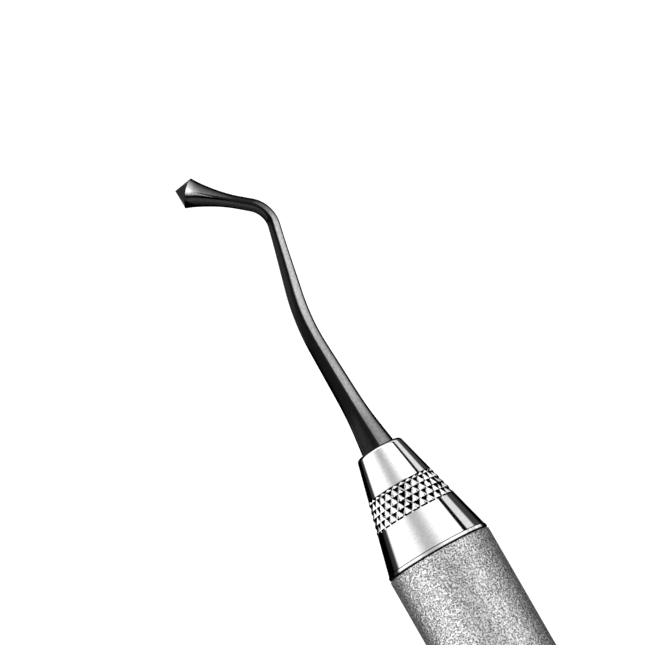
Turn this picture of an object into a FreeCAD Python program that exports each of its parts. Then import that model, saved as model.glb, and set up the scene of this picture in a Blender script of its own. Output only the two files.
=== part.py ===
"""Double-ended modelling tool with a round hollow handle.

A tube is the handle. A tapered ferrule with a knurled band is pressed into each end of it, and a bent
working end, with a flared head and a cone point, is pressed into each ferrule.

Frame: the origin is the middle of the handle, on its axis. +X runs along the handle to the front working
end, whose head leans to +Y. +Z is up when the tool lies with its bends flat. The rear end is the front end
turned half a turn about Z. All lengths are in millimetres and all angles in degrees.
"""

import FreeCAD, Part
import math
import os
import re
import Sketcher

# alias, value, what it is
DRIVING_DIMENSIONS = [
    ("handle_diameter", 9.5, "outside of the handle tube"),
    ("handle_wall", 0.8, "wall of the handle tube"),
    ("handle_length", 95.0, "handle tube, seam to seam"),
    ("seam_chamfer", 0.04, "edge break on both sides of each seam"),
    ("relief_width", 0.15, "dark relief groove of the seam, along the axis"),
    ("relief_depth", 0.3, "relief groove of the seam, below the handle's surface"),
    ("spigot_length", 8.0, "ferrule inside the tube"),
    ("spigot_chamfer", 0.4, "lead-in on the spigot"),
    ("ferrule_length", 10.37, "ferrule outside the tube"),
    ("land_length", 0.42, "polished land beside the seam, relief groove included"),
    ("land_angle", 8.0, "taper of the land, per side"),
    ("land_groove_width", 0.08, "fine groove between the land and the cone"),
    ("land_groove_depth", 0.025, "fine groove, below the cone"),
    ("cone_angle", 14.5, "taper of the ferrule, per side"),
    ("nose_radius", 0.38, "rounded edge of the ferrule's nose"),
    ("band_start", 3.94, "knurled band, from the seam"),
    ("band_length", 2.82, "knurled band, along the axis"),
    ("tooth_stand", 0.05, "tips of the knurl's teeth above the cone"),
    ("tooth_height", 0.22, "tips of the teeth above the grooves"),
    ("tooth_root", 0.05, "root of a tooth below the grooves, sunk in the ferrule"),
    ("groove_floor", 0.06, "flat floor of a groove between teeth"),
    ("tooth_count", 28, "teeth in one row of the knurl"),
    ("tooth_rows", 7, "rows of teeth that reach into the band"),
    ("row_pitch", 0.6, "one row of teeth to the next, along the axis"),
    ("row_start", 0.42, "first row of teeth, before the band's start"),
    ("tang_diameter", 2.4, "working end inside the ferrule"),
    ("tang_length", 12.5, "working end inside the ferrule"),
    ("tang_chamfer", 0.3, "lead-in on the tang"),
    ("bore_depth", 13.2, "bore of the ferrule, from its nose"),
    ("foot_gap", 0.04, "ferrule's nose to the foot of the shank"),
    ("neck_lean", 0.91, "lean of the neck to +Y, from the handle's axis"),
    ("neck_length", 9.88, "straight neck of the shank"),
    ("sweep_radius", 20.7, "shallow bend, to its centreline"),
    ("sweep_angle", 14.45, "turn of the shallow bend"),
    ("arm_length", 5.82, "straight arm between the bends"),
    ("elbow_radius", 2.57, "sharp bend, to its centreline"),
    ("elbow_angle", 62.65, "turn of the sharp bend"),
    ("head_length", 5.52, "sharp bend to the rim of the head"),
    ("point_length", 1.17, "rim of the head to the point"),
    ("foot_radius", 1.487, "foot of the shank, over the ferrule's nose"),
    ("low_flare_radius", 1.335, "shank in the lower part of its base flare"),
    ("high_flare_radius", 1.127, "shank in the upper part of its base flare"),
    ("low_neck_radius", 0.952, "shank at the middle of its neck"),
    ("high_neck_radius", 0.878, "shank at three quarters of its neck"),
    ("sweep_start_radius", 0.817, "shank where the shallow bend starts"),
    ("sweep_middle_radius", 0.755, "shank in the middle of the shallow bend"),
    ("sweep_end_radius", 0.7, "shank where the shallow bend ends"),
    ("arm_radius", 0.598, "shank at the middle of its arm"),
    ("elbow_start_radius", 0.534, "shank where the sharp bend starts"),
    ("elbow_end_radius", 0.559, "shank where the sharp bend ends"),
    ("waist_radius", 0.572, "head where its flare starts"),
    ("low_head_radius", 0.712, "head after a third of its flare"),
    ("mid_head_radius", 0.945, "head after two thirds of its flare"),
    ("high_head_radius", 1.13, "head just under its rim"),
    ("rim_radius", 1.295, "rim of the head"),
]

# Edges of the centreline sketch, in the order they are drawn.
NECK, SWEEP, ARM, ELBOW, HEAD = range(1, 6)

# Round sections of the shank: edge of the centreline, share of that edge, alias of the radius.
SHANK_SECTIONS = [
    (NECK, 0.0, "foot_radius"),
    (NECK, 0.11, "low_flare_radius"),
    (NECK, 0.27, "high_flare_radius"),
    (NECK, 0.55, "low_neck_radius"),
    (NECK, 0.8, "high_neck_radius"),
    (NECK, 1.0, "sweep_start_radius"),
    (SWEEP, 0.5, "sweep_middle_radius"),
    (SWEEP, 1.0, "sweep_end_radius"),
    (ARM, 0.5, "arm_radius"),
    (ARM, 1.0, "elbow_start_radius"),
    (ELBOW, 1.0, "elbow_end_radius"),
    (HEAD, 0.31, "waist_radius"),
    (HEAD, 0.56, "low_head_radius"),
    (HEAD, 0.78, "mid_head_radius"),
    (HEAD, 0.91, "high_head_radius"),
    (HEAD, 1.0, "rim_radius"),
]

PARTS_FOLDER = "parts"
SHEET = "dims"
SAME = 1e-4  # lengths that differ by less are one length
# The origin of every sketch, and its horizontal and vertical axes, as the sketcher numbers them.
ORIGIN, HORIZONTAL, VERTICAL = -1, -1, -2
START, END, CENTRE = 1, 2, 3


def make_sheet(doc):
    """The spreadsheet with one aliased cell for each driving dimension."""
    sheet = doc.addObject("Spreadsheet::Sheet", SHEET)
    for row, (alias, value, meaning) in enumerate(DRIVING_DIMENSIONS, start=1):
        sheet.set(f"A{row}", meaning)
        sheet.set(f"B{row}", str(value))
        sheet.setAlias(f"B{row}", alias)
    doc.recompute()
    return sheet


def cell(text):
    """An expression over the sheet's cells: each alias in the text gets the sheet's name."""
    aliases = "|".join(alias for alias, _, _ in DRIVING_DIMENSIONS)
    return re.sub(rf"\b({aliases})\b", rf"{SHEET}.\1", text)


def plane(body, role):
    """One of the body's own origin planes."""
    return next(f for f in body.Origin.OriginFeatures if f.Role == role)


def sketch_on(body, name, role):
    """An empty sketch on one of the body's origin planes."""
    sketch = body.newObject("Sketcher::SketchObject", name)
    sketch.AttachmentSupport = [(plane(body, role), "")]
    sketch.MapMode = "FlatFace"
    return sketch


def drive(sketch, kind, *args):
    """A dimension of the sketch that follows an expression; the last two arguments are value and text."""
    *geometry, value, text = args
    index = sketch.addConstraint(Sketcher.Constraint(kind, *geometry, value))
    sketch.setExpression(f"Constraints[{index}]", cell(text))


def circle(sketch, value, text):
    """A circle about the sketch's origin whose radius follows an expression."""
    index = sketch.addGeometry(Part.Circle(FreeCAD.Vector(), FreeCAD.Vector(0, 0, 1), value))
    sketch.addConstraint(Sketcher.Constraint("Coincident", index, CENTRE, ORIGIN, START))
    drive(sketch, "Radius", index, value, text)


def turned_profile(sheet, sketch, corners):
    """A closed outline for turning about the sketch's horizontal axis.

    Each corner is a pair of expressions, distance along the axis and radius, and "" stands for nought.
    """
    points = []
    for along, radius in corners:
        x = evaluate(sheet, along) if along else 0.0
        y = evaluate(sheet, radius) if radius else 0.0
        points.append(FreeCAD.Vector(x, y, 0))
    count = len(points)
    for index in range(count):
        sketch.addGeometry(Part.LineSegment(points[index], points[(index + 1) % count]))
    for index in range(count):
        following = (index + 1) % count
        sketch.addConstraint(Sketcher.Constraint("Coincident", index, END, following, START))
    for index, (along, radius) in enumerate(corners):
        if along:
            drive(sketch, "DistanceX", ORIGIN, START, index, START, points[index].x, along)
        else:
            sketch.addConstraint(Sketcher.Constraint("PointOnObject", index, START, VERTICAL))
        if radius:
            drive(sketch, "DistanceY", ORIGIN, START, index, START, points[index].y, radius)
        else:
            sketch.addConstraint(Sketcher.Constraint("PointOnObject", index, START, HORIZONTAL))


def evaluate(sheet, text):
    """The value of an expression over the sheet's cells."""
    value = sheet.evalExpression(cell(text))
    return float(getattr(value, "Value", value))


def turn(body, sketch):
    """A full revolution of the sketch about its horizontal axis."""
    feature = body.newObject("PartDesign::Revolution", "turned")
    feature.Profile = sketch
    feature.ReferenceAxis = (sketch, ["H_Axis"])
    feature.Angle = 360
    body.Tip = feature
    return feature


def round_edges(shape, along, radius):
    """Names of the shape's circular edges about X at one distance along it, with one radius."""
    names = []
    for index, edge in enumerate(shape.Edges, start=1):
        curve = edge.Curve
        if not isinstance(curve, Part.Circle):
            continue
        if abs(curve.Radius - radius) < SAME and abs(curve.Center.x - along) < SAME:
            names.append(f"Edge{index}")
    return names


def dress(body, kind, base, edges, size):
    """A Fillet or Chamfer on named edges, with its size from the sheet."""
    feature = body.newObject(f"PartDesign::{kind}", kind.lower())
    feature.Base = (base, edges)
    feature.setExpression("Radius" if kind == "Fillet" else "Size", cell(size))
    body.Tip = feature
    return feature


def make_handle_tube(doc, sheet):
    """The handle: a plain tube with its outer ends broken."""
    body = doc.addObject("PartDesign::Body", "handle_tube")
    section = sketch_on(body, "tube_section", "YZ_Plane")
    circle(section, sheet.handle_diameter / 2, "handle_diameter / 2")
    circle(section, sheet.handle_diameter / 2 - sheet.handle_wall, "handle_diameter / 2 - handle_wall")
    tube = body.newObject("PartDesign::Pad", "tube")
    tube.Profile = section
    tube.SideType = "Symmetric"
    tube.setExpression("Length", cell("handle_length"))
    body.Tip = tube
    doc.recompute()
    ends = []
    for side in (-1, 1):
        ends += round_edges(tube.Shape, side * sheet.handle_length / 2, sheet.handle_diameter / 2)
    dress(body, "Chamfer", tube, ends, "seam_chamfer")
    body.Label = "handle_tube"
    return body


def make_ferrule_blank(doc, sheet, name):
    """The ferrule without its knurl's teeth, from the seam at x = 0 to its nose, with its spigot at x < 0."""
    body = doc.addObject("PartDesign::Body", name)
    outline = sketch_on(body, "ferrule_outline", "XY_Plane")
    spigot = "handle_diameter / 2 - handle_wall"
    relief = "handle_diameter / 2 - relief_depth"
    band_end = "(band_start + band_length)"
    knurl_floor = " + tooth_stand - tooth_height"

    def land(along):
        return f"handle_diameter / 2 - ({along}) * tan(land_angle * 1 deg)"

    def cone(along):
        return f"handle_diameter / 2 - ({along}) * tan(cone_angle * 1 deg)"

    groove_middle = "land_length + land_groove_width / 2"
    cone_start = "land_length + land_groove_width"

    corners = [
        ("ferrule_length - bore_depth", ""),
        ("-1 * spigot_length", ""),
        ("-1 * spigot_length", f"{spigot} - spigot_chamfer"),
        ("spigot_chamfer - spigot_length", spigot),
        ("", spigot),
        ("", relief),
        ("relief_width", relief),
        ("relief_width", f"{land('relief_width')} - seam_chamfer"),
        ("relief_width + seam_chamfer", land("relief_width + seam_chamfer")),
        ("land_length", land("land_length")),
        (groove_middle, f"{cone(groove_middle)} - land_groove_depth"),
        (cone_start, cone(cone_start)),
        ("band_start", cone("band_start")),
        ("band_start", cone("band_start") + knurl_floor),
        (band_end, cone(band_end) + knurl_floor),
        (band_end, cone(band_end)),
        ("ferrule_length", cone("ferrule_length")),
        ("ferrule_length", "tang_diameter / 2"),
        ("ferrule_length - bore_depth", "tang_diameter / 2"),
    ]
    turned_profile(sheet, outline, corners)
    blank = turn(body, outline)
    doc.recompute()
    nose = round_edges(blank.Shape, sheet.ferrule_length, evaluate(sheet, cone("ferrule_length")))
    dress(body, "Fillet", blank, nose, "nose_radius")
    return body


def tooth_solid(tip, corners, root):
    """A four-sided pyramid on a short straight root, from its tip, its corners and the way its root goes."""
    base = [corner + root for corner in corners]
    outlines = [base]
    for index, corner in enumerate(corners):
        following = (index + 1) % len(corners)
        outlines.append([tip, corner, corners[following]])
        outlines.append([corner, corners[following], base[following], base[index]])
    faces = [Part.Face(Part.makePolygon([*outline, outline[0]])) for outline in outlines]
    solid = Part.Solid(Part.Shell(faces))
    if solid.Volume < 0:
        solid.reverse()
    return solid


def make_knurl_teeth(doc, sheet, name):
    """The diamond teeth of the knurl, in rows round the cone, each row half a tooth round from the last.

    Teeth are as wide as their row leaves room for between grooves of one width, and the band's two borders
    cut through the rows that lie across them.
    """
    lean = math.radians(sheet.cone_angle)
    outward = FreeCAD.Vector(math.sin(lean), 0, math.cos(lean))
    down_cone = FreeCAD.Vector(math.cos(lean), 0, -math.sin(lean))
    groove_depth = sheet.tooth_height - sheet.tooth_stand
    band = Part.makeCylinder(
        sheet.handle_diameter,
        sheet.band_length,
        FreeCAD.Vector(sheet.band_start, 0, 0),
        FreeCAD.Vector(1, 0, 0),
    )
    teeth = []
    for row in range(int(sheet.tooth_rows)):
        along = sheet.band_start - sheet.row_start + row * sheet.row_pitch
        floor_radius = sheet.handle_diameter / 2 - along * math.tan(lean) - groove_depth
        half_round = math.pi * floor_radius / sheet.tooth_count
        half_along = sheet.row_pitch / math.cos(lean)
        # Half a groove's floor is taken off each side of the diamond, square to that side.
        side = math.hypot(half_round, half_along)
        shrink = 1 - sheet.groove_floor / 2 * side / (half_round * half_along)
        middle = FreeCAD.Vector(along, 0, floor_radius)
        forward = down_cone * half_along * shrink
        across = FreeCAD.Vector(0, half_round * shrink, 0)
        corners = [middle + forward, middle + across, middle - forward, middle - across]
        tooth = tooth_solid(middle + outward * sheet.tooth_height, corners, outward * -sheet.tooth_root)
        tooth = tooth.common(band)
        for place in range(int(sheet.tooth_count)):
            copy = tooth.copy()
            angle = 360 / sheet.tooth_count * (place + (row + 1) % 2 / 2)
            copy.rotate(FreeCAD.Vector(), FreeCAD.Vector(1, 0, 0), angle)
            teeth.append(copy)
    knurl = doc.addObject("Part::Feature", name)
    knurl.Shape = Part.makeCompound(teeth)
    return knurl


def make_ferrule(doc, sheet, label):
    """A ferrule: the turned blank with the teeth of the knurl standing in its band."""
    ferrule = doc.addObject("Part::Fuse", label)
    ferrule.Base = make_ferrule_blank(doc, sheet, f"{label}_blank")
    ferrule.Tool = make_knurl_teeth(doc, sheet, f"{label}_teeth")
    ferrule.Label = label
    return ferrule


def draw_centreline(body, sheet):
    """The shank's centreline, from its foot to the rim of the head, each piece tangent to the last."""
    sketch = sketch_on(body, "centreline", "XY_Plane")
    here = FreeCAD.Vector(sheet.foot_gap, 0, 0)
    heading = math.radians(sheet.neck_lean)

    def ahead(angle):
        return FreeCAD.Vector(math.cos(angle), math.sin(angle), 0)

    def left(angle):
        return FreeCAD.Vector(-math.sin(angle), math.cos(angle), 0)

    steps = [
        ("neck_length", None, 0),
        ("sweep_radius", "sweep_angle", -1),
        ("arm_length", None, 0),
        ("elbow_radius", "elbow_angle", 1),
        ("head_length", None, 0),
    ]
    for index, (size, turn_angle, side) in enumerate(steps):
        length = evaluate(sheet, size)
        if turn_angle is None:
            there = here + ahead(heading) * length
            sketch.addGeometry(Part.LineSegment(here, there))
        else:
            turned = side * math.radians(evaluate(sheet, turn_angle))
            centre = here + left(heading) * side * length
            middle = centre - left(heading + turned / 2) * side * length
            there = centre - left(heading + turned) * side * length
            sketch.addGeometry(Part.ArcOfCircle(here, middle, there))
            heading += turned
        here = there
        if index == 0:
            sketch.addConstraint(Sketcher.Constraint("PointOnObject", 0, START, HORIZONTAL))
            drive(sketch, "DistanceX", ORIGIN, START, 0, START, sheet.foot_gap, "foot_gap")
            drive(sketch, "Angle", 0, heading, "neck_lean * 1 deg")
    # An arc always runs anticlockwise, so the clockwise sweep begins at its end.
    first = [START, END, START, START, START]
    last = [END, START, END, END, END]
    for index in range(len(steps) - 1):
        joint = (index, last[index], index + 1, first[index + 1])
        sketch.addConstraint(Sketcher.Constraint("Tangent", *joint))
    for index, (size, turn_angle, side) in enumerate(steps):
        kind = "Distance" if turn_angle is None else "Radius"
        drive(sketch, kind, index, evaluate(sheet, size), size)
        if turn_angle is not None:
            value = math.radians(evaluate(sheet, turn_angle))
            drive(sketch, "Angle", index, value, f"{turn_angle} * 1 deg")
    return sketch


def make_working_end(doc, sheet, label):
    """A working end: tang, bent and tapered round shank, flared head and cone point."""
    body = doc.addObject("PartDesign::Body", label)
    outline = sketch_on(body, "tang_outline", "XY_Plane")
    tang = "tang_diameter / 2"
    corners = [
        ("2 * foot_gap", ""),
        ("-1 * tang_length", ""),
        ("-1 * tang_length", f"{tang} - tang_chamfer"),
        ("tang_chamfer - tang_length", tang),
        ("2 * foot_gap", tang),
    ]
    turned_profile(sheet, outline, corners)
    turn(body, outline)
    centreline = draw_centreline(body, sheet)
    doc.recompute()
    sections = []
    for edge, share, alias in SHANK_SECTIONS:
        section = body.newObject("Sketcher::SketchObject", f"{alias}_section")
        section.AttachmentSupport = [(centreline, f"Edge{edge}")]
        section.MapMode = "NormalToEdge"
        section.MapPathParameter = share
        circle(section, evaluate(sheet, alias), alias)
        sections.append(section)
    shank = body.newObject("PartDesign::AdditivePipe", "shank")
    shank.Profile = sections[0]
    shank.Spine = (centreline, [f"Edge{edge}" for edge in range(NECK, HEAD + 1)])
    shank.Sections = sections[1:]
    shank.Transformation = "Multisection"
    body.Tip = shank
    point = body.newObject("PartDesign::AdditiveCone", "point")
    point.AttachmentSupport = [(centreline, f"Edge{HEAD}")]
    point.MapMode = "NormalToEdge"
    point.MapPathParameter = 1.0
    point.MapReversed = True
    point.setExpression("Radius1", cell("rim_radius"))
    point.Radius2 = 0
    point.setExpression("Height", cell("point_length"))
    body.Tip = point
    body.Label = label
    return body


def place_end(part, side, distance):
    """Puts a part of one end at its distance along the handle; the rear end is turned half a turn."""
    part.Placement = FreeCAD.Placement(
        FreeCAD.Vector(), FreeCAD.Rotation(FreeCAD.Vector(0, 0, 1), 0 if side > 0 else 180)
    )
    part.setExpression("Placement.Base.x", cell(f"{side} * ({distance})"))


def check(doc, parts):
    """Stops if an object of the document failed or a part's shape isn't one sound solid."""
    for item in doc.Objects:
        if "Invalid" in item.State or "Error" in item.State:
            raise RuntimeError(f"{item.Label} failed: {item.State}")
    for part in parts:
        shape = part.Shape
        if shape.isNull() or not shape.isValid() or len(shape.Solids) != 1:
            raise RuntimeError(f"{part.Label} isn't one sound solid")
        box = shape.BoundBox
        size = f"{box.XLength:.2f} x {box.YLength:.2f} x {box.ZLength:.2f} mm"
        print(f"{part.Label}: {size}, {shape.Volume:.1f} mm3, {len(shape.Faces)} faces")


def main():
    doc = FreeCAD.newDocument("modelling_tool")
    sheet = make_sheet(doc)
    parts = [make_handle_tube(doc, sheet)]
    for side, end in ((1, "front"), (-1, "rear")):
        working_end = make_working_end(doc, sheet, f"{end}_working_end")
        place_end(working_end, side, "handle_length / 2 + ferrule_length")
        ferrule = make_ferrule(doc, sheet, f"{end}_ferrule")
        place_end(ferrule, side, "handle_length / 2")
        parts += [ferrule, working_end]
    doc.recompute()
    check(doc, parts)
    os.makedirs(PARTS_FOLDER, exist_ok=True)
    for part in parts:
        part.Shape.exportStep(os.path.join(PARTS_FOLDER, f"{part.Label}.step"))


main()
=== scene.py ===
"""Looks of the double-ended modelling tool: its detailed meshes, its materials, and the studio round it.

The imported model's frame is used as it is: the origin is the middle of the handle, +X runs to the front
working end, +Y is the side that its head leans to, and +Z is up. Everything here is in metres, and every
shape is turned or swept with the design's own dimensions, so each piece fills the node that it replaces.
"""

import math
from collections import namedtuple

import bpy
import numpy as np
from mathutils import Matrix, Vector

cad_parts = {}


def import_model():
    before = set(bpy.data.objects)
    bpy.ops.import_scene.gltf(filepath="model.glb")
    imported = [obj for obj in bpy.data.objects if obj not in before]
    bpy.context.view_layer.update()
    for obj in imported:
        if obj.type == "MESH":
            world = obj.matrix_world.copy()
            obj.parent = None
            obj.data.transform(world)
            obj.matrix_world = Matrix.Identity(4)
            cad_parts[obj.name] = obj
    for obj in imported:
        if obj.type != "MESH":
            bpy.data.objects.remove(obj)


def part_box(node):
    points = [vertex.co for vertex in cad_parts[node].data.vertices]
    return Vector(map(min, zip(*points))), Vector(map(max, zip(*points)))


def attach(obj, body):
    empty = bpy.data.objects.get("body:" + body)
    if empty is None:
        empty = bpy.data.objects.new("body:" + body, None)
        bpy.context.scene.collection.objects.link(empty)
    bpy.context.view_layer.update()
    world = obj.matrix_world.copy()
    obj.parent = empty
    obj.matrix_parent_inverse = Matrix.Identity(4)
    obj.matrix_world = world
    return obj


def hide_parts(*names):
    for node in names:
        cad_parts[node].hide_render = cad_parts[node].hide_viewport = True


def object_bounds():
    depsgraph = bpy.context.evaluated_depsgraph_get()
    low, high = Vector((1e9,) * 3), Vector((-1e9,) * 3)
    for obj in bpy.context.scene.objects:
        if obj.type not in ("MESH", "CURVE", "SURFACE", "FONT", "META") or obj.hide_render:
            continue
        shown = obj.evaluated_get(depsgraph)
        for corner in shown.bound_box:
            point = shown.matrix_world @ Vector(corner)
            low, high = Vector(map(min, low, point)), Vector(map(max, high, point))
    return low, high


MM = 0.001

# The turned parts, as in the design. Distances along a ferrule are from its seam with the handle.
HANDLE_WALL = 0.8 * MM
SEAM_CHAMFER = 0.04 * MM
RELIEF_WIDTH = 0.15 * MM
RELIEF_DEPTH = 0.3 * MM
SPIGOT_LENGTH = 8.0 * MM
SPIGOT_CHAMFER = 0.4 * MM
LAND_LENGTH = 0.42 * MM
LAND_ANGLE = math.radians(8.0)
LAND_GROOVE_WIDTH = 0.08 * MM
LAND_GROOVE_DEPTH = 0.025 * MM
CONE_ANGLE = math.radians(14.5)
NOSE_RADIUS = 0.38 * MM
BORE_DEPTH = 13.2 * MM
TANG_RADIUS = 1.2 * MM
TANG_LENGTH = 12.5 * MM
TANG_CHAMFER = 0.3 * MM

# The knurl: diamond teeth in rows round the cone, each row half a tooth round from the last.
BAND_START = 3.94 * MM
BAND_LENGTH = 2.82 * MM
TOOTH_STAND = 0.05 * MM
TOOTH_HEIGHT = 0.22 * MM
TOOTH_COUNT = 28
ROW_PITCH = 0.6 * MM
ROW_START = 0.42 * MM
STEPS_PER_HALF_TOOTH = 8
TOOTH_TOP = 0.96  # teeth are worn flat above this share of their height
RUN_OUT_SLOPE = 0.7  # the grooves rise to the cone at the band's end

# The shank's centreline, from its foot over the ferrule's nose to the rim of the head.
FOOT_GAP = 0.04 * MM
NECK_LEAN = math.radians(0.91)
NECK_LENGTH = 9.88 * MM
SWEEP_RADIUS = 20.7 * MM
SWEEP_TURN = -math.radians(14.45)
ARM_LENGTH = 5.82 * MM
ELBOW_RADIUS = 2.57 * MM
ELBOW_TURN = math.radians(62.65)
HEAD_LENGTH = 5.52 * MM
POINT_LENGTH = 1.17 * MM

# Radii of the shank in millimetres: stretch of the centreline, share of that stretch, radius.
NECK, SWEEP, ARM, ELBOW, HEAD = range(5)
SHANK_SECTIONS = [
    (NECK, 0.0, 1.487),
    (NECK, 0.11, 1.335),
    (NECK, 0.27, 1.127),
    (NECK, 0.55, 0.952),
    (NECK, 0.8, 0.878),
    (NECK, 1.0, 0.817),
    (SWEEP, 0.5, 0.755),
    (SWEEP, 1.0, 0.7),
    (ARM, 0.5, 0.598),
    (ARM, 1.0, 0.534),
    (ELBOW, 1.0, 0.559),
    (HEAD, 0.31, 0.572),
    (HEAD, 0.56, 0.712),
    (HEAD, 0.78, 0.945),
    (HEAD, 0.91, 1.13),
    (HEAD, 1.0, 1.295),
]

# How finely the meshes are divided. An edge sharper than SHARP_ANGLE isn't shaded smooth.
ROUND_STEPS = 2 * STEPS_PER_HALF_TOOTH * TOOTH_COUNT
FERRULE_STEP = 0.15 * MM
HANDLE_STEP = 1.0 * MM
HANDLE_BORE_STEP = 5.0 * MM
SHANK_ROUND_STEPS = 96
SHANK_STEP = 0.08 * MM
POINT_STEPS = 8
NOSE_STEPS = 10
BEVEL_STEPS = 5
SHARP_ANGLE = math.radians(28)
FLAT_GAP = 1e-3 * MM  # a four-sided cell is flat when its corners lie this close to a plane

# A highlight is painted on the black coating beside the rim of the head, on one side only, where it is also
# less glossy: how far from the rim, round which angle from straight up, and how softly it ends round the
# head.
RIM_HIGHLIGHT = "painted_rim_highlight"
RIM_HIGHLIGHT_REACH = 1.5 * MM
RIM_HIGHLIGHT_SIDE = math.radians(60)
RIM_HIGHLIGHT_SPREAD = 0.6

# The camera looks down on the bends, a little from the handle's side and from the side away from the head.
VIEW_LEAN_BACK = math.radians(6.9)
VIEW_LEAN_ASIDE = math.radians(8.6)
HANDLE_SLANT = math.radians(119.9)  # where +X points in the picture, anticlockwise from its right
VIEW_WIDTH = 54.35 * MM
VIEW_DISTANCE = 0.6
VIEW_PAST_NOSE = 11.6 * MM  # the picture's middle, ahead of the front ferrule's nose
VIEW_ASIDE = -1.233 * MM  # and beside the handle's axis
SENSOR = 36.0
NEAR_CLIP = 0.01

# The world's softboxes. Angles and blurs are in degrees about the tool's axis, from the camera's side of it
# towards -Y. Leans are X components of directions. Each pair is where a box starts and where it ends.
Softbox = namedtuple("Softbox", "strength angles blurs leans lean_blur", defaults=((0.14, 2.0), 0.08))
SOFTBOXES = [
    Softbox(0.04, (-122, -98), (12, 6)),
    Softbox(0.66, (-103, 79), (12, 3)),
    Softbox(0.9, (-103, -33), (12, 44), (0.25, 2.0)),
    Softbox(0.9, (17, 79), (46, 3)),
    Softbox(0.97, (91, 114), (3, 8)),
    Softbox(0.97, (77, 93), (3, 3), (0.14, 0.34), 0.04),
    Softbox(0.97, (110, 132), (3, 8), (0.14, 0.26), 0.04),
    Softbox(0.06, (112, 140), (8, 16)),
    Softbox(0.8, (-45, 30), (30, 30), (0.8, 2.0), 0.1),
]
BACKDROP = 0.95

# Ramps of a linked panel's radiance, as (share of the way, share of the radiance). A ramp along goes towards
# +X, and a ramp up goes from the panel's largest angle to its smallest.
EVEN = [(0.0, 1.0), (1.0, 1.0)]
SHANK_LIGHT_ALONG = [
    (0.16, 1.0),
    (0.32, 0.7),
    (0.36, 0.56),
    (0.44, 0.39),
    (0.57, 0.2),
    (0.75, 0.1),
    (1.0, 0.04),
]
SHANK_LIGHT_UP = [(0.0, 0.12), (0.12, 0.5), (0.3, 0.75), (0.49, 0.95), (0.62, 1.0)]
HEAD_LIGHT_UP = [(0.0, 1.0), (0.31, 0.9), (0.41, 0.55), (0.56, 0.38), (0.72, 0.28), (0.9, 0.1), (1.0, 0.05)]

# Panels that each light one kind of piece alone. Angles are in degrees about the tool's axis, from straight
# up towards -Y. The reach is along X from a ferrule's nose, and the distance is from the axis, in metres.
Panel = namedtuple("Panel", "name angles reach distance radiance along up", defaults=(EVEN, EVEN))
BEHIND_NOSE = (-0.85, -0.15)
PAST_REAR_NOSE = (-0.9, -0.05)
HANDLE_PANELS = [
    Panel("handle_left", (-95, -13), BEHIND_NOSE, 0.6, 4.0),
    Panel("handle_top", (-13, 42), BEHIND_NOSE, 0.6, 0.6),
    Panel("handle_right", (46, 90), BEHIND_NOSE, 0.6, 3.2),
]
REAR_PANELS = [
    Panel("rear_left", (-95, -24), PAST_REAR_NOSE, 0.4, 1.2),
    Panel("rear_top", (-24, 26), PAST_REAR_NOSE, 0.4, 0.7),
    Panel("rear_right", (26, 87), PAST_REAR_NOSE, 0.4, 1.2),
]
END_PANELS = [
    Panel("shank_side", (28, 126), (-0.16, 0.56), 0.4, 41.0, SHANK_LIGHT_ALONG, SHANK_LIGHT_UP),
    Panel("head_side", (-122, -8), (-0.75, 0.055), 0.4, 2.6, EVEN, HEAD_LIGHT_UP),
    Panel("rim_top", (11, 34), (-0.25, 0.055), 0.4, 17.0),
    Panel("point_low", (-160, -98), (0.08, 0.55), 0.4, 1.8),
]

FLOOR_SIZE = 30.0
FLOOR_GREY = 0.9
FLOOR_ROUGHNESS = 0.9
FLOOR_GLOW = 0.8


# ---------------------------------------------------------------- meshes


def skin(name, rings, closed=False):
    """A mesh object through rings of points, with its ends joined to each other or closed at their middles.

    A four-sided cell that isn't flat is split along its flatter diagonal, so that creases stay straight.
    """
    rings = np.asarray(rings)
    count, around = rings.shape[:2]
    points = rings.reshape(-1, 3)
    ring, step = np.mgrid[0 : count if closed else count - 1, 0:around]
    beside = (step + 1) % around
    above = (ring + 1) % count * around
    ring = ring * around
    cells = np.stack([ring + step, ring + beside, above + beside, above + step], axis=-1).reshape(-1, 4)
    a, b, c, d = (points[cells[:, corner]] for corner in range(4))
    normal = np.cross(c - a, d - b)
    normal /= np.maximum(np.linalg.norm(normal, axis=1, keepdims=True), 1e-12)
    gap = np.abs(np.sum((b - a) * normal, axis=1))
    out = np.hypot(points[:, 1], points[:, 2])[cells]
    along_ac = np.abs(out[:, 0] - out[:, 2]) < np.abs(out[:, 1] - out[:, 3])
    flat = gap < FLAT_GAP
    faces = cells[flat].tolist()
    faces += cells[~flat & along_ac][:, [0, 1, 2]].tolist() + cells[~flat & along_ac][:, [0, 2, 3]].tolist()
    faces += cells[~flat & ~along_ac][:, [0, 1, 3]].tolist() + cells[~flat & ~along_ac][:, [1, 2, 3]].tolist()
    points = points.tolist()
    if not closed:
        bottom, top = len(points), len(points) + 1
        points += [rings[0].mean(axis=0).tolist(), rings[-1].mean(axis=0).tolist()]
        last = (count - 1) * around
        for corner in range(around):
            beside = (corner + 1) % around
            faces.append((bottom, beside, corner))
            faces.append((top, last + corner, last + beside))
    mesh = bpy.data.meshes.new(name)
    mesh.from_pydata(points, [], faces)
    mesh.shade_smooth()
    mesh.set_sharp_from_angle(angle=SHARP_ANGLE)
    piece = bpy.data.objects.new(name, mesh)
    bpy.context.scene.collection.objects.link(piece)
    return piece


def turned_rings(outline):
    """Rings about the X axis: the outline's items are (x, radius), and a radius may be one for each step."""
    turn = np.linspace(0, 2 * math.pi, ROUND_STEPS, endpoint=False)
    rings = []
    for x, radius in outline:
        radius = np.broadcast_to(radius, turn.shape)
        along = np.full(turn.shape, x)
        rings.append(np.stack([along, -radius * np.sin(turn), radius * np.cos(turn)], axis=1))
    return rings


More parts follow.
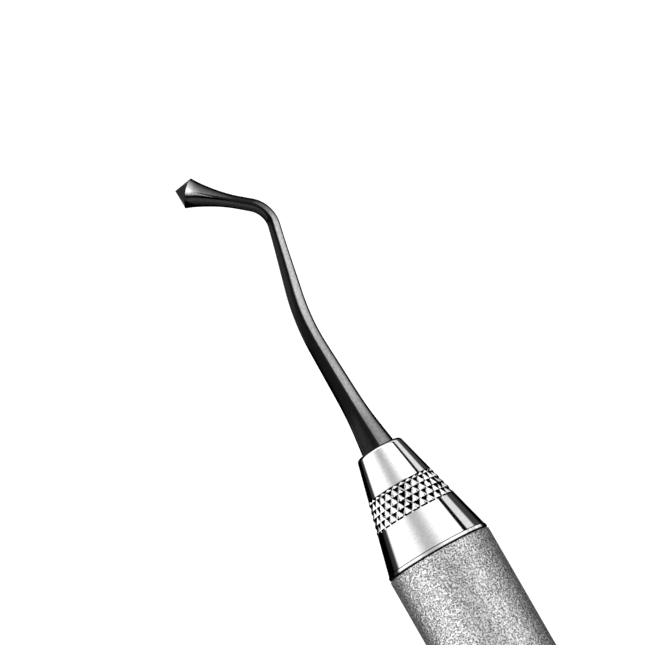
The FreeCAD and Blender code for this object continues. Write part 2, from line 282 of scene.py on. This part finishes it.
def stretch(start, end, step):
    """Points of an outline from start up to, and without, end, at most one step apart."""
    count = max(1, math.ceil(math.dist(start, end) / step))
    share = [index / count for index in range(count)]
    return [(start[0] + (end[0] - start[0]) * s, start[1] + (end[1] - start[1]) * s) for s in share]


def rounded_corner(centre, radius, start, end, steps):
    """Points of an arc in an outline, between two directions measured from the X axis."""
    angles = np.linspace(start, end, steps + 1)
    return [(centre[0] + radius * math.cos(a), centre[1] + radius * math.sin(a)) for a in angles]


def half_turn(piece):
    """Turns a piece's mesh half a turn about Z, to the other end of the tool."""
    piece.data.transform(Matrix.Rotation(math.pi, 4, "Z"))
    return piece


def stand_in(piece, node, materials):
    """Finishes a piece that stands for a CAD node of a tool with no moving parts."""
    for material in materials:
        piece.data.materials.append(material)
    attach(piece, "root")
    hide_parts(node)


# ---------------------------------------------------------------- handle


def make_handle(seam_x, radius):
    """The handle: a tube whose outer edges are slightly rounded at the two seams."""
    bore = radius - HANDLE_WALL
    bevel = SEAM_CHAMFER
    quarter = math.pi / 2
    right = rounded_corner((seam_x - bevel, radius - bevel), bevel, quarter, 0, BEVEL_STEPS)
    left = rounded_corner((bevel - seam_x, radius - bevel), bevel, 2 * quarter, quarter, BEVEL_STEPS)
    outline = [(-seam_x, bore)] + left[:-1] + stretch(left[-1], right[0], HANDLE_STEP) + right
    outline += stretch((seam_x, bore), (-seam_x, bore), HANDLE_BORE_STEP)[:-1]
    return skin("handle", turned_rings(outline), closed=True)


# ---------------------------------------------------------------- ferrules


def land_radius(x, seam_radius):
    """The ferrule's land at a distance from its seam."""
    return seam_radius - x * math.tan(LAND_ANGLE)


def cone_radius(x, seam_radius):
    """The ferrule's cone at a distance from its seam."""
    return seam_radius - x * math.tan(CONE_ANGLE)


def knurl_radius(x, seam_radius):
    """The knurl's radii round the ferrule at a distance from its seam: two crossing sets of grooves."""
    turn = np.arange(ROUND_STEPS) / STEPS_PER_HALF_TOOTH
    row = (x - BAND_START + ROW_START) / ROW_PITCH
    right_hand = (turn + row + 1) / 2
    left_hand = (turn - row - 1) / 2
    from_right = np.abs(right_hand - np.round(right_hand))
    from_left = np.abs(left_hand - np.round(left_hand))
    from_tip = np.maximum(from_right, from_left) * 2
    height = np.minimum(1 - from_tip, TOOTH_TOP)
    run_out = (x - BAND_START - BAND_LENGTH) * RUN_OUT_SLOPE
    stand = np.maximum(TOOTH_STAND - TOOTH_HEIGHT * (1 - height), run_out)
    return cone_radius(x, seam_radius) + stand / math.cos(CONE_ANGLE)


def make_ferrule(name, seam_x, nose_x, seam_radius):
    """A front ferrule: blind bore, rounded nose, knurled band between two polished cones, land and spigot."""
    length = nose_x - seam_x
    spigot = seam_radius - HANDLE_WALL
    band_end = BAND_START + BAND_LENGTH
    band_step = ROW_PITCH / STEPS_PER_HALF_TOOTH

    def land(x):
        return (x, land_radius(x, seam_radius))

    def cone(x):
        return (x, cone_radius(x, seam_radius))

    # The nose's arc is tangent to the cone and to the flat end.
    tilt = math.pi / 2 - CONE_ANGLE
    arc_x = length - NOSE_RADIUS
    nose_centre = (arc_x, cone_radius(arc_x, seam_radius) - NOSE_RADIUS / math.cos(CONE_ANGLE))
    nose = rounded_corner(nose_centre, NOSE_RADIUS, tilt, 0, NOSE_STEPS)
    groove_middle = LAND_LENGTH + LAND_GROOVE_WIDTH / 2
    cone_start = LAND_LENGTH + LAND_GROOVE_WIDTH
    outline = [(-SPIGOT_LENGTH, spigot - SPIGOT_CHAMFER)]
    outline += [(SPIGOT_CHAMFER - SPIGOT_LENGTH, spigot), (0, spigot)]
    outline += [(0, seam_radius - RELIEF_DEPTH), (RELIEF_WIDTH, seam_radius - RELIEF_DEPTH)]
    outline += [(RELIEF_WIDTH, land_radius(RELIEF_WIDTH, seam_radius) - SEAM_CHAMFER)]
    outline += [land(RELIEF_WIDTH + SEAM_CHAMFER), land(LAND_LENGTH)]
    outline += [(groove_middle, cone_radius(groove_middle, seam_radius) - LAND_GROOVE_DEPTH)]
    outline += stretch(cone(cone_start), cone(BAND_START), FERRULE_STEP)
    outline += [cone(BAND_START)]
    outline += [(BAND_START, knurl_radius(BAND_START, seam_radius))]
    first_line = math.floor(ROW_START / band_step) + 1
    last_line = math.ceil((ROW_START + BAND_LENGTH) / band_step)
    for line in range(first_line, last_line):
        x = BAND_START - ROW_START + line * band_step
        outline.append((x, knurl_radius(x, seam_radius)))
    outline += [(band_end, knurl_radius(band_end, seam_radius))]
    outline += stretch(cone(band_end), nose[0], FERRULE_STEP)
    outline += nose
    outline += [(length, TANG_RADIUS), (length - BORE_DEPTH, TANG_RADIUS)]
    outline = [(seam_x + x, radius) for x, radius in outline]
    piece = skin(name, turned_rings(outline))
    # The floor and wall of the relief groove take the second material, a painted shade, but not the chamfer
    # at its mouth.
    seam_end = RELIEF_WIDTH + SEAM_CHAMFER / 4
    for face in piece.data.polygons:
        x, *across = face.center
        in_shaded_seam = 0 <= x - seam_x <= seam_end and math.hypot(*across) > spigot
        face.material_index = int(in_shaded_seam)
    return piece


# ---------------------------------------------------------------- working ends


def centreline():
    """The shank's centreline as (length, point, heading) triples, and the length where each stretch ends."""
    stretches = [
        (NECK_LENGTH, 0.0),
        (SWEEP_RADIUS * abs(SWEEP_TURN), SWEEP_TURN),
        (ARM_LENGTH, 0.0),
        (ELBOW_RADIUS * abs(ELBOW_TURN), ELBOW_TURN),
        (HEAD_LENGTH, 0.0),
    ]
    length, heading, point = 0.0, NECK_LEAN, np.array([FOOT_GAP, 0.0])
    track = [(length, point, heading)]
    ends = [length]
    for reach, turn in stretches:
        count = math.ceil(reach / SHANK_STEP)
        half = turn / count / 2
        # The chord of a short arc, for a straight stretch its own length.
        chord = reach / count * (math.sin(half) / half if half else 1)
        for _ in range(count):
            middle = heading + half
            point = point + chord * np.array([math.cos(middle), math.sin(middle)])
            heading += turn / count
            length += reach / count
            track.append((length, point, heading))
        ends.append(length)
    return track, ends


def smooth_through(places, values, at):
    """A smooth curve through values at places, evaluated at other places (natural cubic spline)."""
    places, values = np.asarray(places), np.asarray(values)
    gap = np.diff(places)
    count = len(places)
    matrix = np.eye(count)
    side = np.zeros(count)
    for index in range(1, count - 1):
        matrix[index, index - 1 : index + 2] = gap[index - 1], 2 * (gap[index - 1] + gap[index]), gap[index]
        rise = (values[index + 1] - values[index]) / gap[index]
        fall = (values[index] - values[index - 1]) / gap[index - 1]
        side[index] = 6 * (rise - fall)
    bend = np.linalg.solve(matrix, side)
    piece = np.clip(np.searchsorted(places, at, side="right") - 1, 0, count - 2)
    low, high, width = places[piece], places[piece + 1], gap[piece]
    left, right = (high - at) / width, (at - low) / width
    cubic = (left**3 - left) * bend[piece] + (right**3 - right) * bend[piece + 1]
    return left * values[piece] + right * values[piece + 1] + cubic * width**2 / 6


def smooth_step(share):
    """0 below 0, 1 above 1, and smooth between them."""
    share = np.clip(share, 0, 1)
    return share * share * (3 - 2 * share)


def make_working_end(name, nose_x):
    """A front working end: tang, bent and tapered shank, flared head with a sharp rim, and cone point."""
    track, ends = centreline()
    places = [ends[part] + share * (ends[part + 1] - ends[part]) for part, share, _ in SHANK_SECTIONS]
    radii = [radius * MM for _, _, radius in SHANK_SECTIONS]
    lengths = np.array([length for length, _, _ in track])
    shank = smooth_through(places, radii, lengths)
    stations = [((-TANG_LENGTH, 0.0), 0.0, TANG_RADIUS - TANG_CHAMFER)]
    stations += [((TANG_CHAMFER - TANG_LENGTH, 0.0), 0.0, TANG_RADIUS)]
    stations += [((FOOT_GAP, 0.0), NECK_LEAN, TANG_RADIUS)]
    tang_stations = len(stations)
    stations += [(point, heading, radius) for (_, point, heading), radius in zip(track, shank)]
    end, heading = track[-1][1], track[-1][2]
    forward = np.array([math.cos(heading), math.sin(heading)])
    for step in range(1, POINT_STEPS):
        share = step / POINT_STEPS
        stations.append((end + forward * POINT_LENGTH * share, heading, radii[-1] * (1 - share)))
    turn = np.linspace(0, 2 * math.pi, SHANK_ROUND_STEPS, endpoint=False)
    rings = []
    for (x, y), heading, radius in stations:
        aside = radius * np.sin(turn)
        ring_x = nose_x + x + aside * math.sin(heading)
        ring_y = y - aside * math.cos(heading)
        rings.append(np.stack([ring_x, ring_y, radius * np.cos(turn)], axis=1))
    piece = skin(name, rings)
    tip = end + forward * POINT_LENGTH
    piece.data.vertices[-1].co = (nose_x + tip[0], tip[1], 0)
    # The painted highlight beside the rim: how much of it each vertex takes, on one side of the head only.
    highlight_mask = piece.data.attributes.new(RIM_HIGHLIGHT, "FLOAT", "POINT")
    side = smooth_step(np.cos(turn - RIM_HIGHLIGHT_SIDE) / RIM_HIGHLIGHT_SPREAD)
    for index, length in enumerate(lengths):
        share = smooth_step(1 - (lengths[-1] - length) / RIM_HIGHLIGHT_REACH)
        first = (index + tang_stations) * SHANK_ROUND_STEPS
        for step in range(SHANK_ROUND_STEPS):
            highlight_mask.data[first + step].value = share * side[step]
    return piece


# ---------------------------------------------------------------- materials


def new_material(name):
    """A material, its tree and its principled shader, which is joined to the output."""
    material = bpy.data.materials.new(name)
    material.use_nodes = True
    tree = material.node_tree
    tree.nodes.clear()
    output = tree.nodes.new("ShaderNodeOutputMaterial")
    shader = tree.nodes.new("ShaderNodeBsdfPrincipled")
    tree.links.new(shader.outputs["BSDF"], output.inputs["Surface"])
    return material, tree, shader


def noise(tree, size, roughness=0.6, squeeze=(1, 1, 1)):
    """Procedural noise in the tool's own frame.

    Its features are of about a size in metres, divided along each axis by the squeeze.
    """
    place = tree.nodes.new("ShaderNodeTexCoord")
    mapping = tree.nodes.new("ShaderNodeMapping")
    mapping.inputs["Scale"].default_value = squeeze
    texture = tree.nodes.new("ShaderNodeTexNoise")
    texture.inputs["Scale"].default_value = 1 / size
    texture.inputs["Detail"].default_value = 2.0
    texture.inputs["Roughness"].default_value = roughness
    tree.links.new(place.outputs["Object"], mapping.inputs["Vector"])
    tree.links.new(mapping.outputs["Vector"], texture.inputs["Vector"])
    return texture.outputs["Fac"]


def pits(tree, size):
    """Distances from the middles of small pits that lie close together, as a share of their size."""
    place = tree.nodes.new("ShaderNodeTexCoord")
    texture = tree.nodes.new("ShaderNodeTexVoronoi")
    texture.inputs["Scale"].default_value = 1 / size
    tree.links.new(place.outputs["Object"], texture.inputs["Vector"])
    return texture.outputs["Distance"]


def ramp(tree, value, stops):
    """A colour ramp over a value; the stops are (position, grey)."""
    node = tree.nodes.new("ShaderNodeValToRGB")
    elements = node.color_ramp.elements
    while len(elements) < len(stops):
        elements.new(1.0)
    for element, (position, grey) in zip(elements, stops):
        element.position = position
        element.color = (grey, grey, grey, 1)
    tree.links.new(value, node.inputs["Fac"])
    return node.outputs["Color"]


def bump(tree, shader, height, depth):
    """Fine relief of a given depth in metres."""
    node = tree.nodes.new("ShaderNodeBump")
    node.inputs["Strength"].default_value = 1.0
    node.inputs["Distance"].default_value = depth
    tree.links.new(height, node.inputs["Height"])
    tree.links.new(node.outputs["Normal"], shader.inputs["Normal"])


def times(tree, first, second):
    """The product of two colours."""
    node = tree.nodes.new("ShaderNodeVectorMath")
    node.operation = "MULTIPLY"
    tree.links.new(first, node.inputs[0])
    tree.links.new(second, node.inputs[1])
    return node.outputs["Vector"]


def blasted_steel():
    """Bead-blasted steel: matt, with small dark pits and a fine irregular mottle."""
    material, tree, shader = new_material("blasted_steel")
    shader.inputs["Metallic"].default_value = 1.0
    shader.inputs["Roughness"].default_value = 0.4
    shader.inputs["Specular Tint"].default_value = (0.1, 0.1, 0.1, 1)
    pitted = ramp(tree, pits(tree, 0.17 * MM), [(0.12, 0.08), (0.45, 0.75), (0.7, 1.0)])
    mottle = ramp(tree, noise(tree, 0.13 * MM), [(0.38, 0.3), (0.48, 0.8), (0.58, 1.0)])
    tree.links.new(times(tree, pitted, mottle), shader.inputs["Base Color"])
    bump(tree, shader, noise(tree, 0.25 * MM), 0.09 * MM)
    return material


def polished_steel():
    """Polished steel with a faint unevenness, twice as long across the tool as along it."""
    material, tree, shader = new_material("polished_steel")
    shader.inputs["Metallic"].default_value = 1.0
    shader.inputs["Roughness"].default_value = 0.07
    uneven = noise(tree, 0.15 * MM, squeeze=(1, 0.5, 0.5))
    tree.links.new(ramp(tree, uneven, [(0.3, 0.72), (0.7, 0.83)]), shader.inputs["Base Color"])
    return material


def painted_seam_shade():
    """Painted shade in the relief groove of a seam: a dark, rough material."""
    material, tree, shader = new_material("painted_seam_shade")
    shader.inputs["Roughness"].default_value = 0.8
    grain = noise(tree, 0.2 * MM, roughness=0.5)
    # A near-black base colour: the painted shade in the groove.
    tree.links.new(ramp(tree, grain, [(0.3, 0.004), (0.7, 0.02)]), shader.inputs["Base Color"])
    return material


def black_coating():
    """Glossy black coating, faintly uneven, with a painted highlight beside the rim on one side of the head,
    where it is also less glossy.
    """
    material, tree, shader = new_material("black_coating")
    shader.inputs["Metallic"].default_value = 1.0
    shader.inputs["Specular Tint"].default_value = (0.5, 0.5, 0.5, 1)
    highlight_mask = tree.nodes.new("ShaderNodeAttribute")
    highlight_mask.attribute_name = RIM_HIGHLIGHT
    roughness = ramp(tree, highlight_mask.outputs["Fac"], [(0.0, 0.1), (1.0, 0.24)])
    tree.links.new(roughness, shader.inputs["Roughness"])
    # The base colour is raised beside the rim on one side: a painted highlight.
    grey = ramp(tree, highlight_mask.outputs["Fac"], [(0.0, 0.016), (0.7, 0.024), (1.0, 0.048)])
    mottle = ramp(tree, noise(tree, 0.18 * MM), [(0.35, 0.8), (0.65, 1.2)])
    tree.links.new(times(tree, grey, mottle), shader.inputs["Base Color"])
    return material


# ---------------------------------------------------------------- studio


class Studio:
    """A world of softboxes round the tool, placed by their angle about its axis and their lean along it.

    The angles are in degrees towards -Y. They count from the roll, which itself counts from straight up. The
    lean is the X component of the direction.
    """

    def __init__(self, roll):
        self.roll = roll
        world = bpy.data.worlds.new("studio")
        world.use_nodes = True
        bpy.context.scene.world = world
        self.tree = world.node_tree
        self.tree.nodes.clear()
        place = self.tree.nodes.new("ShaderNodeTexCoord")
        split = self.tree.nodes.new("ShaderNodeSeparateXYZ")
        self.tree.links.new(place.outputs["Generated"], split.inputs["Vector"])
        self.lean = split.outputs["X"]
        aside = self.math("MULTIPLY", split.outputs["Y"], -1.0)
        self.angle = self.math("ARCTAN2", aside, split.outputs["Z"])
        self.light = None

    def math(self, operation, first, second):
        """A Math node of two sockets or numbers."""
        node = self.tree.nodes.new("ShaderNodeMath")
        node.operation = operation
        for socket, value in zip(node.inputs, (first, second)):
            if isinstance(value, (int, float)):
                socket.default_value = value
            else:
                self.tree.links.new(value, socket)
        return node.outputs["Value"]

    def edge(self, value, place, blur):
        """0 below a place and 1 above it, smooth over the blur."""
        node = self.tree.nodes.new("ShaderNodeMapRange")
        node.interpolation_type = "SMOOTHSTEP"
        node.inputs["From Min"].default_value = place - blur / 2
        node.inputs["From Max"].default_value = place + blur / 2
        self.tree.links.new(value, node.inputs["Value"])
        return node.outputs["Result"]

    def add(self, box):
        """Adds a softbox."""
        start, end = (math.radians(angle + self.roll) for angle in box.angles)
        rise = self.edge(self.angle, start, math.radians(box.blurs[0]))
        fall = self.edge(self.angle, end, math.radians(box.blurs[1]))
        across = self.math("SUBTRACT", rise, fall)
        low = self.edge(self.lean, box.leans[0], box.lean_blur)
        high = self.edge(self.lean, box.leans[1], box.lean_blur)
        along = self.math("SUBTRACT", low, high)
        panel = self.math("MULTIPLY", self.math("MULTIPLY", across, along), box.strength)
        self.light = panel if self.light is None else self.math("ADD", self.light, panel)

    def finish(self, backdrop):
        """Joins the softboxes to the world, which the camera itself sees as a plain pale backdrop."""
        seen = self.tree.nodes.new("ShaderNodeLightPath")
        panels = self.tree.nodes.new("ShaderNodeBackground")
        pale = self.tree.nodes.new("ShaderNodeBackground")
        choose = self.tree.nodes.new("ShaderNodeMixShader")
        output = self.tree.nodes.new("ShaderNodeOutputWorld")
        panels.inputs["Color"].default_value = (1, 1, 1, 1)
        pale.inputs["Color"].default_value = (backdrop, backdrop, backdrop, 1)
        self.tree.links.new(self.light, panels.inputs["Strength"])
        self.tree.links.new(seen.outputs["Is Camera Ray"], choose.inputs[0])
        self.tree.links.new(panels.outputs["Background"], choose.inputs[1])
        self.tree.links.new(pale.outputs["Background"], choose.inputs[2])
        self.tree.links.new(choose.outputs["Shader"], output.inputs["Surface"])


def light_studio():
    """The softboxes, as the polished steel shows them.

    Two broad ones overhead leave a grey dip between them. A black gap and a narrow panel follow on the right.
    None reaches far back along the tool, so what faces the handle stays dark.
    """
    studio = Studio(math.degrees(VIEW_LEAN_ASIDE))
    for box in SOFTBOXES:
        studio.add(box)
    studio.finish(BACKDROP)


def add_panel(panel, nose_x, lit):
    """A flat panel beside the tool that lights only a collection of its pieces, out of the camera's sight."""
    low, high = (nose_x + reach for reach in panel.reach)
    angle = math.radians(sum(panel.angles) / 2)
    half = math.radians(panel.angles[1] - panel.angles[0]) / 2
    across = Vector((1, 0, 0))
    towards = Vector((0, -math.sin(angle), math.cos(angle)))
    light = bpy.data.lights.new(panel.name, "AREA")
    light.shape = "RECTANGLE"
    light.size = high - low
    light.size_y = 2 * panel.distance * math.tan(half)
    light.energy = panel.radiance * math.pi * light.size * light.size_y
    light.use_nodes = True
    tree = light.node_tree
    place = tree.nodes.new("ShaderNodeNewGeometry")
    split = tree.nodes.new("ShaderNodeSeparateXYZ")
    both = tree.nodes.new("ShaderNodeMath")
    both.operation = "MULTIPLY"
    tree.links.new(place.outputs["Parametric"], split.inputs["Vector"])
    tree.links.new(ramp(tree, split.outputs["X"], panel.along), both.inputs[0])
    tree.links.new(ramp(tree, split.outputs["Y"], panel.up), both.inputs[1])
    tree.links.new(both.outputs["Value"], tree.nodes["Emission"].inputs["Strength"])
    holder = bpy.data.objects.new(panel.name, light)
    turned = Matrix((across, towards.cross(across), towards)).transposed().to_4x4()
    middle = Vector(((low + high) / 2, 0, 0)) + towards * panel.distance
    holder.matrix_world = Matrix.Translation(middle) @ turned
    holder.visible_camera = False
    bpy.context.scene.collection.objects.link(holder)
    holder.light_linking.receiver_collection = lit


def light_alone(name, panels, nose_x, pieces):
    """Lights some pieces, and nothing else, with panels placed from a ferrule's nose."""
    lit = bpy.data.collections.new(name)
    for piece in pieces:
        lit.objects.link(piece)
    for panel in panels:
        add_panel(panel, nose_x, lit)


def make_floor(height):
    """A plain pale floor that glows a little, is left out of the tool's reflections and casts no shadow."""
    bpy.ops.mesh.primitive_plane_add(size=FLOOR_SIZE, location=(0, 0, height))
    floor = bpy.context.object
    floor.name = "floor"
    material, tree, shader = new_material("pale_floor")
    shader.inputs["Base Color"].default_value = (FLOOR_GREY, FLOOR_GREY, FLOOR_GREY, 1)
    shader.inputs["Roughness"].default_value = FLOOR_ROUGHNESS
    shader.inputs["Emission Color"].default_value = (1, 1, 1, 1)
    shader.inputs["Emission Strength"].default_value = FLOOR_GLOW
    floor.data.materials.append(material)
    floor.visible_glossy = False
    floor.visible_shadow = False


def place_camera(nose_x):
    """A long lens, looking almost straight down on the bends of the front end."""
    towards = Vector((-math.tan(VIEW_LEAN_BACK), -math.tan(VIEW_LEAN_ASIDE), 1)).normalized()
    ahead = Vector((1, 0, 0))
    ahead = (ahead - ahead.dot(towards) * towards).normalized()
    aside = towards.cross(ahead)
    right = ahead * math.cos(HANDLE_SLANT) - aside * math.sin(HANDLE_SLANT)
    up = ahead * math.sin(HANDLE_SLANT) + aside * math.cos(HANDLE_SLANT)
    middle = Vector((nose_x + VIEW_PAST_NOSE, VIEW_ASIDE, 0))
    camera = bpy.data.cameras.new("camera")
    camera.sensor_width = SENSOR
    camera.lens = SENSOR * VIEW_DISTANCE / VIEW_WIDTH
    camera.clip_start = NEAR_CLIP
    holder = bpy.data.objects.new("camera", camera)
    turned = Matrix((right, up, towards)).transposed().to_4x4()
    holder.matrix_world = Matrix.Translation(middle + towards * VIEW_DISTANCE) @ turned
    bpy.context.scene.collection.objects.link(holder)
    bpy.context.scene.camera = holder


# ---------------------------------------------------------------- the tool


def main():
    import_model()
    cad_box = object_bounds()
    seam_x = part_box("handle_tube")[1].x
    handle_radius = cad_box[1].z
    nose_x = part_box("front_ferrule")[1].x
    steel, polish, seam_shade, black = blasted_steel(), polished_steel(), painted_seam_shade(), black_coating()
    handle = make_handle(seam_x, handle_radius)
    stand_in(handle, "handle_tube", [steel])
    ferrules = {}
    working_ends = []
    for end, place in (("front", lambda piece: piece), ("rear", half_turn)):
        ferrule = place(make_ferrule(f"knurled_{end}_ferrule", seam_x, nose_x, handle_radius))
        # The second material is the painted shade in the seam's relief groove.
        stand_in(ferrule, f"{end}_ferrule", [polish, seam_shade])
        working_end = place(make_working_end(f"bent_{end}_end", nose_x))
        stand_in(working_end, f"{end}_working_end", [black])
        ferrules[end] = ferrule
        working_ends.append(working_end)
    make_floor(-handle_radius)
    light_studio()
    light_alone("lit_handle", HANDLE_PANELS, nose_x, [handle])
    light_alone("lit_rear", REAR_PANELS, -nose_x, [ferrules["rear"]])
    light_alone("lit_ends", END_PANELS, nose_x, working_ends)
    place_camera(nose_x)
    bpy.context.scene.view_settings.view_transform = "Standard"


main()
